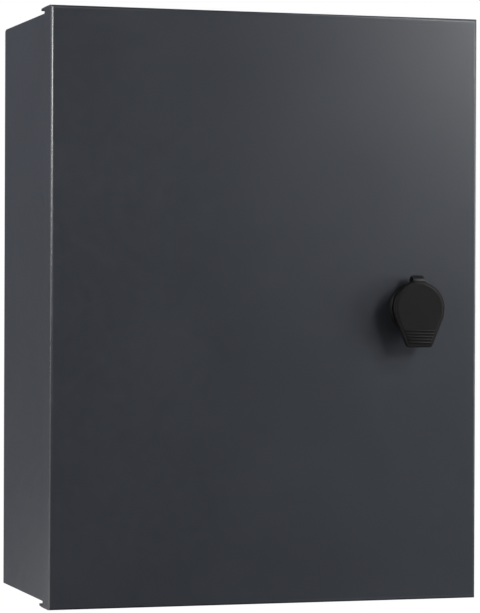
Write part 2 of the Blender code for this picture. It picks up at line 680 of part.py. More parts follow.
def door_panel(joint, material):
    """Front panel folded on all four sides. Its top and bottom flanges reach further back than its sides."""
    back = DOOR_FRONT + HEM_FLANGE
    mesh = block((-DOOR_HALF, DOOR_FRONT, -DOOR_TOP), (DOOR_HALF, back, DOOR_TOP))
    bevel_edges(mesh, lambda a, b: max(a.y, b.y) < DOOR_FRONT + 1e-6, DOOR_BEND, 4)
    door = make_object("door_panel", mesh, material, joint)
    inner = DOOR_HALF - DOOR_SHEET
    side_back = DOOR_FRONT + SIDE_FLANGE
    cavity = [
        (-inner, DOOR_BACK),
        (inner, DOOR_BACK),
        (inner, side_back),
        (DOOR_HALF + OVER, side_back),
        (DOOR_HALF + OVER, back + OVER),
        (-DOOR_HALF - OVER, back + OVER),
        (-DOOR_HALF - OVER, side_back),
        (-inner, side_back),
    ]
    hollow = prism(cavity, "XY", -DOOR_TOP + DOOR_SHEET, DOOR_TOP - DOOR_SHEET)
    bevel_edges(hollow, lambda a, b: max(a.y, b.y) < DOOR_BACK + 1e-6, DOOR_BEND - DOOR_SHEET, 2)
    combine(door, hollow)
    for side in (-1, 1):
        edge = side * (DOOR_HALF + OVER)
        mitre = [
            (side * DOOR_HALF, side_back),
            (edge, side_back),
            (edge, back + OVER),
            (side * (DOOR_HALF - FLANGE_MITRE), back + OVER),
        ]
        combine(door, prism(mitre, "XY", -DOOR_TOP - OVER, DOOR_TOP + OVER))
        pin_hole = circle((PIVOT_X, PIVOT_Y), PIN_HOLE)
        ends = sorted((side * (DOOR_TOP - 2 * DOOR_SHEET), side * (DOOR_TOP + OVER)))
        combine(door, prism(pin_hole, "XY", *ends))
    lock_hole = circle((LOCK_X, LOCK_Z), SHANK_RADIUS + WELD_GAP)
    return combine(door, prism(lock_hole, "XZ", DOOR_FRONT - OVER, DOOR_BACK + OVER))


def lock_part(name, profile, joint, material, sides=CIRCLE_SIDES):
    """A piece turned round the lock axis, with heights measured outwards from the door's face."""
    mesh = facing(turned(profile, sides), (0, -1, 0), (LOCK_X, DOOR_FRONT, LOCK_Z))
    return make_object(name, mesh, material, joint)


def cap_base(joint, material):
    """Ring under the lock's head, which the closed cap plugs into."""
    bore = SHANK_RADIUS + WELD_GAP
    chamfer = 2 * EDGE_BREAK
    profile = [
        (bore, WELD_GAP),
        (BASE_RADIUS, WELD_GAP),
        (BASE_RADIUS, BASE_HEIGHT - chamfer),
        (BASE_RADIUS - chamfer, BASE_HEIGHT),
        (BASE_BORE, BASE_HEIGHT),
        (BASE_BORE, WELD_GAP + BASE_FLOOR),
        (bore, WELD_GAP + BASE_FLOOR),
    ]
    return lock_part("cap_base", profile, joint, material, 48)


def lock_housing(joint, material):
    """Threaded barrel through the door with a round head outside."""
    head_low = BASE_FLOOR + 2 * WELD_GAP
    head_high = head_low + HEAD_HEIGHT
    end = -DOOR_SHEET - SHANK_BEHIND
    bore = PLUG_RADIUS + WELD_GAP
    chamfer = 3 * EDGE_BREAK
    profile = [
        (bore, end),
        (SHANK_RADIUS - chamfer / 2, end),
        (SHANK_RADIUS, end + chamfer / 2),
        (SHANK_RADIUS, head_low),
        (HEAD_RADIUS, head_low),
        (HEAD_RADIUS, head_high - chamfer),
        (HEAD_RADIUS - chamfer, head_high),
        (bore, head_high),
    ]
    return lock_part("lock_housing", profile, joint, material)


def lock_nut(joint, material):
    low = DOOR_BACK + WELD_GAP
    outline = circle((LOCK_X, LOCK_Z), SHANK_RADIUS * NUT_SHARE / math.sqrt(3), 6)
    nut = make_object("lock_nut", prism(outline, "XZ", low, low + NUT_THICK), material, joint)
    hole = circle((LOCK_X, LOCK_Z), SHANK_RADIUS + WELD_GAP)
    return combine(nut, prism(hole, "XZ", low - OVER, low + NUT_THICK + OVER))


def lock_plug(joint, material):
    """Key plug with its key slot in front, and behind it the square stud that turns the cam."""
    front = BASE_FLOOR + 2 * WELD_GAP + HEAD_HEIGHT - WELD_GAP
    end = DOOR_FRONT - SHANK_END - WELD_GAP
    profile = [
        (0, end),
        (PLUG_RADIUS, end),
        (PLUG_RADIUS, front - EDGE_BREAK),
        (PLUG_RADIUS - EDGE_BREAK, front),
        (0, front),
    ]
    plug = lock_part("lock_plug", profile, joint, material)
    stud_low = (LOCK_X - STUD_HALF, SHANK_END - OVER, LOCK_Z - STUD_HALF)
    stud_high = (LOCK_X + STUD_HALF, CAM_BACK, LOCK_Z + STUD_HALF)
    combine(plug, block(stud_low, stud_high), "UNION")
    width, height, depth = KEY_SLOT
    slot_low = (LOCK_X - width / 2, DOOR_FRONT - front - OVER, LOCK_Z - height / 2)
    slot_high = (LOCK_X + width / 2, DOOR_FRONT - front + depth, LOCK_Z + height / 2)
    combine(plug, block(slot_low, slot_high))
    thread = circle((LOCK_X, LOCK_Z), SCREW_RADIUS + WELD_GAP, 24)
    thread_end = CAM_BACK - CAM_SHEET - SCREW_DEPTH
    return combine(plug, prism(thread, "XZ", thread_end - WELD_GAP, CAM_BACK + OVER))


def lock_cam(joint, material):
    """Flat cam. It hangs down when unlocked and turns a quarter to the right behind the strike."""
    lean = math.degrees(math.acos((CAM_HUB_RADIUS - CAM_HALF_WIDTH) / CAM_REACH))
    outline = arc((LOCK_X, LOCK_Z), CAM_HUB_RADIUS, lean - 90, 270 - lean, 24)
    outline += arc((LOCK_X, LOCK_Z - CAM_REACH + CAM_HALF_WIDTH), CAM_HALF_WIDTH, 180, 360, 12)
    cam = make_object("lock_cam", prism(outline, "XZ", CAM_FRONT, CAM_BACK), material, joint)
    half = STUD_HALF + WELD_GAP
    hole = rectangle((LOCK_X - half, LOCK_Z - half), (LOCK_X + half, LOCK_Z + half))
    return combine(cam, prism(hole, "XZ", CAM_FRONT - OVER, CAM_BACK + OVER))


def cam_washer(joint, material):
    low = DOOR_FRONT - CAM_BACK - WELD_GAP
    high = low - CAM_WASHER_THICK
    bore = SCREW_RADIUS + WELD_GAP
    profile = rectangle((bore, low), (CAM_WASHER_RADIUS, high))
    return lock_part("cam_washer", profile, joint, material)


def cam_screw(joint, material):
    head = DOOR_FRONT - CAM_BACK - 2 * WELD_GAP - CAM_WASHER_THICK
    tail = head - SCREW_HEAD_HEIGHT
    tip = DOOR_FRONT - CAM_FRONT + SCREW_DEPTH
    chamfer = 2 * EDGE_BREAK
    profile = [
        (0, tip),
        (SCREW_RADIUS, tip),
        (SCREW_RADIUS, head),
        (SCREW_HEAD_RADIUS, head),
        (SCREW_HEAD_RADIUS, tail + chamfer),
        (SCREW_HEAD_RADIUS - chamfer, tail),
        (0, tail),
    ]
    screw = lock_part("cam_screw", profile, joint, material, 24)
    socket = circle((LOCK_X, LOCK_Z), SCREW_SOCKET_RADIUS, 6)
    depth = DOOR_FRONT - tail
    return combine(screw, prism(socket, "XZ", depth - SCREW_SOCKET_DEPTH, depth + OVER))


def cap_outline():
    """Front view of the cap: a disc with a tapered grip tab below and a flared neck above."""
    corner = Vector((CAP_TAB_HALF, -CAP_TAB_DROP))
    reach = math.degrees(math.acos(CAP_RADIUS / corner.length))
    tangent = math.degrees(math.atan2(corner.y, corner.x)) + reach
    half = [tuple(point) for point in tab_corner(corner, tangent)]
    half += arc((0, 0), CAP_RADIUS, tangent, CAP_FLARE, 20)
    start = Vector(half[-1])
    bend = Vector((CAP_NECK_HALF, start.y + CAP_FILLET))
    end = Vector((CAP_NECK_HALF, CAP_NECK_TOP))
    for step in (1 / 3, 2 / 3, 1):
        half.append(tuple(start * (1 - step) ** 2 + bend * 2 * step * (1 - step) + end * step**2))
    whole = half + [(-x, z) for x, z in half[::-1]]
    return [(LOCK_X + x, LOCK_Z + z) for x, z in whole]


def tab_corner(corner, tangent):
    """Points round the lower right corner of the tab, whose side leans as the tangent to the disc does."""
    angle = math.radians(tangent)
    side = (Vector((math.cos(angle), math.sin(angle))) * CAP_RADIUS - corner).normalized()
    floor = Vector((-1, 0))
    middle = (floor + side) * (1 - math.sqrt(0.5))
    return [corner + step * CAP_TAB_CORNER for step in (floor, middle, side)]


def lock_cap(joint, material):
    """Weather cap: a disc with a grip tab, and behind it a ring that plugs into the base."""
    front = DOOR_FRONT - CAP_FRONT
    mesh = prism(cap_outline(), "XZ", front, front + CAP_PLATE)
    bevel_edges(mesh, lambda a, b: max(a.y, b.y) < front + 1e-6, CAP_EDGE, 2)
    cap = make_object("lock_cap", mesh, material, joint)
    thin_low = (LOCK_X - CAP_TAB_HALF * 2, front + CAP_TAB_PLATE, LOCK_Z - CAP_TAB_DROP - OVER)
    thin_high = (LOCK_X + CAP_TAB_HALF * 2, front + CAP_PLATE + OVER, LOCK_Z - CAP_RADIUS - WELD_GAP)
    combine(cap, block(thin_low, thin_high))
    low = CAP_FRONT - CAP_PLATE
    profile = rectangle(
        (CAP_PLUG_RADIUS - CAP_PLUG_WALL, low - CAP_PLUG_DEPTH), (CAP_PLUG_RADIUS, low + CAP_EDGE)
    )
    ring = facing(turned(profile, 40), (0, -1, 0), (LOCK_X, DOOR_FRONT, LOCK_Z))
    combine(cap, ring, "UNION")
    height, depth = RIB_SIZE
    for index in range(RIB_COUNT):
        above_end = RIB_RISE - index * RIB_PITCH
        middle = LOCK_Z - CAP_TAB_DROP + above_end
        half = CAP_TAB_HALF - RIB_MARGIN + above_end * TAB_LEAN
        groove_low = (LOCK_X - half, front - OVER, middle - height / 2)
        combine(cap, block(groove_low, (LOCK_X + half, front + depth, middle + height / 2)))
    return cap


def cap_strap(joint, material):
    """Living hinge: an arch from the top of the base over to the cap's neck."""
    middle = STRAP_RADIUS - STRAP_SHEET / 2
    rear = math.degrees(math.asin((BASE_RADIUS + WELD_GAP - STRAP_RISE) / middle))
    front = 180 - math.degrees(math.asin((CAP_NECK_TOP + WELD_GAP - STRAP_RISE) / middle))
    outline = arc((STRAP_Y, STRAP_Z), STRAP_RADIUS, rear, front, 14)
    outline += arc((STRAP_Y, STRAP_Z), STRAP_RADIUS - STRAP_SHEET, front, rear, 14)
    ends = (LOCK_X - CAP_NECK_HALF, LOCK_X + CAP_NECK_HALF)
    return make_object("cap_strap", prism(outline, "YZ", *ends), material, joint)


# Strike and bumpers

def strike_plate(material):
    """Wear plate behind the body's right return, which the cam turns behind."""
    front = RETURN_BACK + WELD_GAP
    low = (BODY_HALF - RETURN_WIDTH - STRIKE_INNER_REACH, front, LOCK_Z - STRIKE_HEIGHT / 2)
    high = (INNER_HALF - BODY_BEND, STRIKE_BACK, LOCK_Z + STRIKE_HEIGHT / 2)
    mesh = block(low, high)
    bevel_edges(mesh, lambda a, b: abs(a.y - b.y) > STRIKE_SHEET / 2, STRIKE_CORNER, 2)
    plate = make_object("strike_plate", mesh, material)
    for height in (-RIVET_Z, RIVET_Z):
        hole = circle((RETURN_MIDDLE, LOCK_Z + height), RIVET_RADIUS + WELD_GAP, 20)
        combine(plate, prism(hole, "XZ", front - OVER, STRIKE_BACK + OVER))
    return plate


def strike_rivet(name, height, material):
    head = BODY_FRONT - WELD_GAP
    tail = STRIKE_BACK + WELD_GAP
    crown = RIVET_HEAD_HEIGHT / 2
    profile = [
        (0, head - 2 * crown),
        (RIVET_HEAD_RADIUS / 2, head - 2 * crown),
        (RIVET_HEAD_RADIUS, head - crown),
        (RIVET_HEAD_RADIUS, head),
        (RIVET_RADIUS, head),
        (RIVET_RADIUS, tail),
        (RIVET_TAIL_RADIUS, tail),
        (RIVET_TAIL_RADIUS, tail + crown),
        (RIVET_TAIL_RADIUS / 2, tail + 2 * crown),
        (0, tail + 2 * crown),
    ]
    mesh = facing(turned(profile, 20), (0, 1, 0), (RETURN_MIDDLE, 0, LOCK_Z + height))
    return make_object(name, mesh, material)


def door_bumper(name, height, material):
    """Rubber dot on the return, which the closed door lies against."""
    back = BODY_FRONT - WELD_GAP
    front = DOOR_BACK + WELD_GAP
    profile = [
        (0, front),
        (BUMPER_RADIUS - 3 * EDGE_BREAK, front),
        (BUMPER_RADIUS - EDGE_BREAK, front + EDGE_BREAK),
        (BUMPER_RADIUS, back),
        (0, back),
    ]
    mesh = facing(turned(profile, 24), (0, 1, 0), (RETURN_MIDDLE, 0, height))
    return make_object(name, mesh, material)


def make_body(finish):
    body_shell(finish["powder_coat"])
    bottom_tray(finish["powder_coat"])
    front_rail(finish["powder_coat"])
    baffle(finish["powder_coat"])
    for name, side in (("right", 1), ("left", -1)):
        side_gutter(f"side_gutter_{name}", side, finish["powder_coat"])
        hinge_ear(f"lid_hinge_ear_{name}", side, finish["plated"])
        rod_clip(f"rod_clip_{name}", side, finish["plated"])
        lid_pad(f"lid_pad_{name}", side, finish["rubber"])
    lid_hinge_rod(finish["plated"])
    for name, level in (("top", 1), ("bottom", -1)):
        hinge_pin(f"hinge_pin_{name}", level, finish["plated"])
        hinge_bracket(f"hinge_bracket_{name}", level, finish["plated"])
        hinge_clip(f"hinge_clip_{name}", level, finish["plated"])
        hinge_washer(f"hinge_washer_{name}", level, finish["nylon"])
    strike_plate(finish["plated"])
    for name, level in (("upper", 1), ("lower", -1)):
        strike_rivet(f"strike_rivet_{name}", level * RIVET_Z, finish["plated"])
        door_bumper(f"door_bumper_{name}", level * BUMPER_Z, finish["rubber"])


def make_door(finish):
    hinge = make_joint("door_hinge_axis", (PIVOT_X, PIVOT_Y, 0))
    door_panel(hinge, finish["powder_coat"])
    cap_base(hinge, finish["cap_plastic"])
    cap_strap(hinge, finish["cap_plastic"])
    lock_housing(hinge, finish["zinc"])
    lock_nut(hinge, finish["plated"])


def make_lock(finish):
    lock = make_joint("lock_axis", (LOCK_X, DOOR_FRONT, LOCK_Z))
    lock_plug(lock, finish["zinc"])
    lock_cam(lock, finish["plated"])
    cam_washer(lock, finish["plated"])
    cam_screw(lock, finish["plated"])
    flip = make_joint("cap_axis", (LOCK_X, STRAP_Y, STRAP_Z))
    lock_cap(flip, finish["cap_plastic"])


def main():
    for old in list(bpy.data.objects):
        bpy.data.objects.remove(old)
    finish = make_materials()
    make_body(finish)
    make_door(finish)
    make_lock(finish)
    inlet_lid(make_joint("lid_axis", (0, ROD_Y, ROD_Z)), finish["powder_coat"])


main()
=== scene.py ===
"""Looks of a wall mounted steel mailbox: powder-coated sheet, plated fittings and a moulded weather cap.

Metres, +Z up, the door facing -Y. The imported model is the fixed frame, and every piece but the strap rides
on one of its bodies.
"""

import json
import math

import bmesh
import bpy
from bpy.props import FloatProperty, FloatVectorProperty, IntProperty, PointerProperty
from mathutils import Matrix, Vector


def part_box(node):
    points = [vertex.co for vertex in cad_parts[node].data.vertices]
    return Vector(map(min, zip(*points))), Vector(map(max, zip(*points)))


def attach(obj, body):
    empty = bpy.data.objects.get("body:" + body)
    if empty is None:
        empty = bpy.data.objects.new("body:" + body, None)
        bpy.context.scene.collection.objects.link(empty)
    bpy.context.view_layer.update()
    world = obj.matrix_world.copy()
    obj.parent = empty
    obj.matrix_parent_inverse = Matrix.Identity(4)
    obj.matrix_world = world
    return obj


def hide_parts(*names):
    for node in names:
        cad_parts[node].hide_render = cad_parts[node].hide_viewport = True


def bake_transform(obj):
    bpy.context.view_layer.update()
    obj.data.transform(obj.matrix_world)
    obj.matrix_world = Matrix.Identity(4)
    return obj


bl_info = {
    "name": "Wall Mailbox Looks",
    "version": (1, 0, 0),
    "blender": (4, 5, 0),
    "location": "3D View > Sidebar > Mailbox",
    "description": "Finishes, moulded lock cap and studio for a wall mounted mailbox",
    "category": "Object",
}

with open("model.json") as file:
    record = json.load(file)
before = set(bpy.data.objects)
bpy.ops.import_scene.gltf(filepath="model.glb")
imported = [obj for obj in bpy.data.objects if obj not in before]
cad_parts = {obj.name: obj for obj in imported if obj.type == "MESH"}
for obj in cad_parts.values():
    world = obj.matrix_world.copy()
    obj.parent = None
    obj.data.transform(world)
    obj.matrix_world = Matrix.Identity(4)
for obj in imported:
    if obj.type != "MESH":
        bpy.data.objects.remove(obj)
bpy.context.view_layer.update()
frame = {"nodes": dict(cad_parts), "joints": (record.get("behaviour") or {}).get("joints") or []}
NODES = frame["nodes"]

# Surface clean-up of the carried-over nodes
WELD_DISTANCE = 2e-6
FLAT_ANGLE = math.radians(0.4)
CREASE_ANGLE = math.radians(40)
SHARP_ANGLE = math.radians(50)

# Steps round the curves of the cap
TAB_STEPS = 6
SIDE_STEPS = 8
DISC_STEPS = 44
NECK_STEPS = 8
NECK_END_STEPS = 3
PLUG_SIDES = 72
BASE_SIDES = 96
STRAP_STEPS = 28
RIB_STEPS = 8

# Rings of the cap's plate: inner ones as shares of its outline, outer ones as distances inside it
PLATE_SHARES = (0.25, 0.45, 0.6, 0.7, 0.78, 0.84)
PLATE_INSETS = (0.0030, 0.0027, 0.0024, 0.0021, 0.0018, 0.0014, 0.0010, 0.0007, 0.0004, 0.00018, 0.00005)
# Grip ribs: where their rings lie along them, as shares of half a rib, and how the ends taper
RIB_STATIONS = (-1.0, -0.97, -0.9, 0.9, 0.97, 1.0)
RIB_END_START = 0.9
RIB_END_HEIGHT = 0.3  # share of its height that a rib keeps at its ends
RIB_END_RISE = 0.05  # and of its rise
RIB_SHARE = 0.62  # height of a rib, as a share of the pitch
# Corners and fits of the cap's ring, its base and the strap
PLUG_BITE = 0.0005  # the ring reaches this far into the plate
PLUG_GAP = 0.0004  # air between the ring and its seat in the base
PLUG_CORNER = 0.0004
BASE_CORNER = 0.0007
STRAP_CORNER = 0.0003
STRAP_CORNER_STEPS = 3

SHEET_PIECES = (
    "body_shell",
    "bottom_tray",
    "front_rail",
    "anti_theft_baffle",
    "side_gutter_left",
    "side_gutter_right",
    "door_panel",
    "inlet_lid",
)
PLATED_PIECES = (
    "lid_hinge_ear_left",
    "lid_hinge_ear_right",
    "lid_hinge_rod",
    "rod_clip_left",
    "rod_clip_right",
    "hinge_bracket_top",
    "hinge_bracket_bottom",
    "hinge_pin_top",
    "hinge_pin_bottom",
    "hinge_clip_top",
    "hinge_clip_bottom",
    "strike_plate",
    "strike_rivet_upper",
    "strike_rivet_lower",
    "lock_nut",
    "lock_cam",
    "cam_washer",
    "cam_screw",
)
LOCK_PIECES = ("lock_housing", "lock_plug")
RUBBER_PIECES = ("lid_pad_left", "lid_pad_right", "door_bumper_upper", "door_bumper_lower")
NYLON_PIECES = ("hinge_washer_top", "hinge_washer_bottom")


def place_of_lock():
    """Where the lock's axis meets the front face of the door."""
    low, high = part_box("lock_housing")
    axis = (low + high) / 2
    return Vector((axis.x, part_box("door_panel")[0].y, axis.z))


LOCK = place_of_lock()


# Shader maths

class Signal:
    """A number that varies over a surface. Python's operators on it add Math nodes."""

    def __init__(self, finish, socket):
        self.finish = finish
        self.socket = socket

    def __add__(self, other):
        return self.finish.maths("ADD", self, other)

    def __radd__(self, other):
        return self.finish.maths("ADD", other, self)

    def __sub__(self, other):
        return self.finish.maths("SUBTRACT", self, other)

    def __rsub__(self, other):
        return self.finish.maths("SUBTRACT", other, self)

    def __mul__(self, other):
        return self.finish.maths("MULTIPLY", self, other)

    def __rmul__(self, other):
        return self.finish.maths("MULTIPLY", other, self)

    def __truediv__(self, other):
        return self.finish.maths("DIVIDE", self, other)

    def __rtruediv__(self, other):
        return self.finish.maths("DIVIDE", other, self)


class Finish:
    """A material and the nodes that make it."""

    def __init__(self, name, **constants):
        self.material = bpy.data.materials.new(name)
        self.material.use_nodes = True
        self.tree = self.material.node_tree
        self.shader = self.tree.nodes["Principled BSDF"]
        for socket, value in constants.items():
            self.set(socket.replace("_", " "), value)
        self.place = self.node("ShaderNodeTexCoord").outputs["Object"]

    def set(self, socket, value):
        """Feeds a socket of the main shader."""
        self.feed(self.shader.inputs[socket], value)

    def feed(self, socket, value):
        """Links a signal or a socket, or sets a constant."""
        if isinstance(value, Signal):
            value = value.socket
        if isinstance(value, bpy.types.NodeSocket):
            self.tree.links.new(value, socket)
        elif socket.type == "RGBA" and len(value) == 3:
            socket.default_value = (*value, 1)
        else:
            socket.default_value = value

    def node(self, kind, settings=None, sockets=None):
        """Adds a node. Its settings are made first, then its sockets are fed, by name or by number."""
        added = self.tree.nodes.new(kind)
        for name, value in (settings or {}).items():
            if name == "stops":
                self.make_stops(added.color_ramp, value)
            else:
                setattr(added, name, value)
        for name, value in (sockets or {}).items():
            self.feed(added.inputs[name], value)
        return added

    def make_stops(self, ramp, stops):
        while len(ramp.elements) > len(stops):
            ramp.elements.remove(ramp.elements[-1])
        while len(ramp.elements) < len(stops):
            ramp.elements.new(1.0)
        for element, (position, level) in zip(ramp.elements, stops):
            element.position = position
            element.color = (level, level, level, 1)

    def maths(self, operation, *values):
        sockets = dict(enumerate(values))
        return Signal(self, self.node("ShaderNodeMath", {"operation": operation}, sockets).outputs[0])

    def vector(self, operation, *values):
        sockets = dict(enumerate(values))
        return self.node("ShaderNodeVectorMath", {"operation": operation}, sockets).outputs[0]

    def length(self, vector):
        """How long a vector is."""
        settings = {"operation": "LENGTH"}
        return Signal(self, self.node("ShaderNodeVectorMath", settings, {0: vector}).outputs["Value"])

    def stretched(self, *scale):
        """The place on the piece, scaled along each axis."""
        return self.vector("MULTIPLY", self.place, scale)

    def noise(self, size, detail=2.0, roughness=0.5, place=None):
        """Noise whose blotches are about this many metres across."""
        sockets = {
            "Vector": place or self.place,
            "Scale": 1 / size,
            "Detail": detail,
            "Roughness": roughness,
        }
        return Signal(self, self.node("ShaderNodeTexNoise", None, sockets).outputs[0])

    def cells(self, size):
        """Distance to the nearest of many scattered points, about this many metres apart."""
        sockets = {"Vector": self.place, "Scale": 1 / size}
        return Signal(self, self.node("ShaderNodeTexVoronoi", None, sockets).outputs["Distance"])

    def ramp(self, value, *stops):
        """A grey ramp, with stops of (position, level)."""
        settings = {"stops": stops}
        return Signal(self, self.node("ShaderNodeValToRGB", settings, {"Fac": value}).outputs[0])

    def blend(self, factor, first, second):
        """A colour between two colours."""
        settings = {"data_type": "RGBA"}
        sockets = {0: factor, 6: first, 7: second}
        return self.node("ShaderNodeMix", settings, sockets).outputs[2]

    def bump(self, height, distance):
        """Raises the surface by height times distance, in metres."""
        sockets = {"Height": height, "Distance": distance, "Strength": 1.0}
        self.set("Normal", self.node("ShaderNodeBump", None, sockets).outputs["Normal"])


def toned(colour, share):
    """A colour made darker, or lighter where the share is over 1."""
    return tuple(channel * share for channel in colour)


def swing(signal, spread):
    """A signal from 0 to 1, turned into one that strays by half of spread either way."""
    return (signal - 0.5) * spread


def powder_coat(look):
    """Fine-textured powder coat: a tight leathery grain over the soft flow of the melted powder."""
    finish = Finish("powder_coat", IOR=1.5)
    grain = finish.noise(look.grain, detail=3.0, roughness=0.6)
    flow = finish.noise(look.grain * 9, detail=2.0)
    cloud = finish.noise(look.cloud, detail=3.0, roughness=0.55)
    speck = finish.ramp(finish.cells(look.grain * 2.2), (0.0, 1.0), (0.28, 0.0))
    tone = cloud * 0.55 + grain * 0.45
    colour = finish.blend(tone, toned(look.colour, 1 - look.mottle), toned(look.colour, 1 + look.mottle))
    finish.set("Base Color", finish.blend(speck * 0.25, colour, toned(look.colour, 1.6)))
    finish.set("Roughness", look.roughness + swing(flow, 0.10) + swing(cloud, 0.08))
    finish.bump(grain * 0.7 + flow * 0.9 + speck * 0.2, look.grain * look.relief)
    return finish.material


def plated_steel(look):
    """Bright zinc plating over rolled strip: faint draw lines, cloudy passivation and dulled patches."""
    finish = Finish("plated_steel", Metallic=1.0)
    lines = finish.noise(look.draw_pitch, detail=4.0, roughness=0.65, place=finish.stretched(1.0, 0.06, 1.0))
    cloud = finish.noise(0.009, detail=3.0, roughness=0.6)
    tint = finish.blend(cloud, look.zinc, look.passivate)
    finish.set("Base Color", finish.blend(lines * 0.35, tint, toned(look.zinc, 0.62)))
    finish.set("Roughness", look.zinc_roughness + swing(cloud, 0.22) + swing(lines, 0.16))
    finish.bump(lines * 0.6 + cloud * 0.4, look.draw_relief)
    return finish.material


def turned_zinc(look):
    """Nickel-plated die casting, faced on a lathe: fine rings round the lock's axis."""
    finish = Finish("lock_zinc", Metallic=1.0)
    offset = finish.vector("SUBTRACT", finish.place, tuple(LOCK))
    flat = finish.vector("MULTIPLY", offset, (1, 0, 1))
    radius = finish.length(flat)
    rings = finish.maths("SINE", radius * (2 * math.pi / look.ring_pitch)) * 0.5 + 0.5
    smear = finish.noise(0.003, detail=3.0, roughness=0.6)
    finish.set("Base Color", finish.blend(smear * 0.5, look.nickel, toned(look.nickel, 0.72)))
    finish.set("Roughness", look.nickel_roughness + smear * 0.14 + rings * 0.05)
    finish.bump(rings * 0.5 + smear * 0.8, look.ring_relief)
    return finish.material


def moulded_cap(look, name, roughness, index):
    """Black moulded elastomer with a spark-eroded skin, slightly greyed in soft patches."""
    finish = Finish(name, IOR=index)
    skin = finish.noise(look.skin, detail=3.0, roughness=0.6)
    bloom = finish.noise(0.006, detail=3.0, roughness=0.55)
    grey = finish.blend(bloom, toned(look.colour, 0.85), toned(look.colour, 1.3))
    finish.set("Base Color", finish.blend(skin * 0.2, grey, toned(look.colour, 2.0)))
    finish.set("Roughness", roughness + swing(bloom, 0.12) + swing(skin, 0.10))
    finish.bump(skin * 0.7 + bloom * 0.3, look.skin * look.relief)
    return finish.material


def black_rubber(look):
    """Pressed rubber with a dusty bloom."""
    finish = Finish("black_rubber", IOR=1.5)
    grit = finish.noise(0.0005, detail=3.0, roughness=0.6)
    dust = finish.noise(0.003, detail=2.0)
    finish.set("Base Color", finish.blend(dust, toned(look.rubber, 0.8), toned(look.rubber, 1.8)))
    finish.set("Roughness", look.rubber_roughness + swing(dust, 0.15))
    finish.bump(grit, look.rubber_relief)
    return finish.material


def white_nylon(look):
    """Natural nylon, a little waxy and uneven."""
    finish = Finish("white_nylon", IOR=1.53)
    wax = finish.noise(0.002, detail=2.0)
    finish.set("Base Color", finish.blend(wax, toned(look.nylon, 0.9), look.nylon))
    finish.set("Roughness", look.nylon_roughness + wax * 0.15)
    finish.bump(wax, look.nylon_relief)
    return finish.material


def studio_floor(stage):
    """Matt pale sheet that fades into the backdrop away from the mailbox."""
    finish = Finish("studio_floor", IOR=1.3, Emission_Strength=1.0)
    fibre = finish.noise(0.05, detail=3.0)
    away = finish.length(finish.place) - stage.fade_start
    fade = finish.ramp(away / (stage.fade_end - stage.fade_start), (0.0, 0.0), (1.0, 1.0))
    pale = finish.blend(fibre, toned(stage.floor, 0.985), stage.floor)
    finish.set("Base Color", finish.blend(fade, pale, (0.0, 0.0, 0.0)))
    finish.set("Emission Color", finish.blend(fade, toned(stage.floor, stage.floor_glow), stage.backdrop))
    finish.set("Roughness", 0.8 + fibre * 0.1)
    return finish.material


# Meshes

def dress(names, material, edge=0.0):
    """Gives carried-over nodes their finish, smooth folds and slightly rounded edges."""
    for name in names:
        piece = NODES[name]
        piece.data.materials.clear()
        piece.data.materials.append(material)
        weld = piece.modifiers.new("weld", "WELD")
        weld.merge_threshold = WELD_DISTANCE
        flats = piece.modifiers.new("flats", "DECIMATE")
        flats.decimate_type = "DISSOLVE"
        flats.angle_limit = FLAT_ANGLE
        if edge:
            bevel = piece.modifiers.new("edges", "BEVEL")
            bevel.width = edge
            bevel.segments = 2
            bevel.limit_method = "ANGLE"
            bevel.angle_limit = SHARP_ANGLE
        for face in piece.data.polygons:
            face.use_smooth = True
        split = piece.modifiers.new("creases", "EDGE_SPLIT")
        split.split_angle = CREASE_ANGLE
        even = piece.modifiers.new("even_shading", "WEIGHTED_NORMAL")
        even.keep_sharp = True


def new_object(name, mesh, material):
    """An object made from a bmesh, with its finish."""
    bmesh.ops.recalc_face_normals(mesh, faces=mesh.faces)
    data = bpy.data.meshes.new(name)
    mesh.to_mesh(data)
    mesh.free()
    data.materials.append(material)
    made = bpy.data.objects.new(name, data)
    bpy.context.scene.collection.objects.link(made)
    return made


def cap_piece(name, mesh, material, body):
    """A moulded piece of the weather cap. It rides on a body, if one is given."""
    piece = new_object(name, mesh, material)
    piece.data.shade_smooth()
    piece.data.set_sharp_from_angle(angle=SHARP_ANGLE)
    if body:
        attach(piece, body)
    return piece


def arc(centre, radius, start, end, steps):
    """Points on an arc, with its angles in degrees."""
    points = []
    for step in range(steps + 1):
        angle = math.radians(start + (end - start) * step / steps)
        points.append(Vector((centre[0] + radius * math.cos(angle), centre[1] + radius * math.sin(angle))))
    return points


def skin(mesh, rings):
    """Faces between neighbouring rings of vertices."""
    for ring, after in zip(rings, rings[1:]):
        for index in range(len(ring)):
            following = (index + 1) % len(ring)
            mesh.faces.new((ring[index], ring[following], after[following], after[index]))


# The weather cap

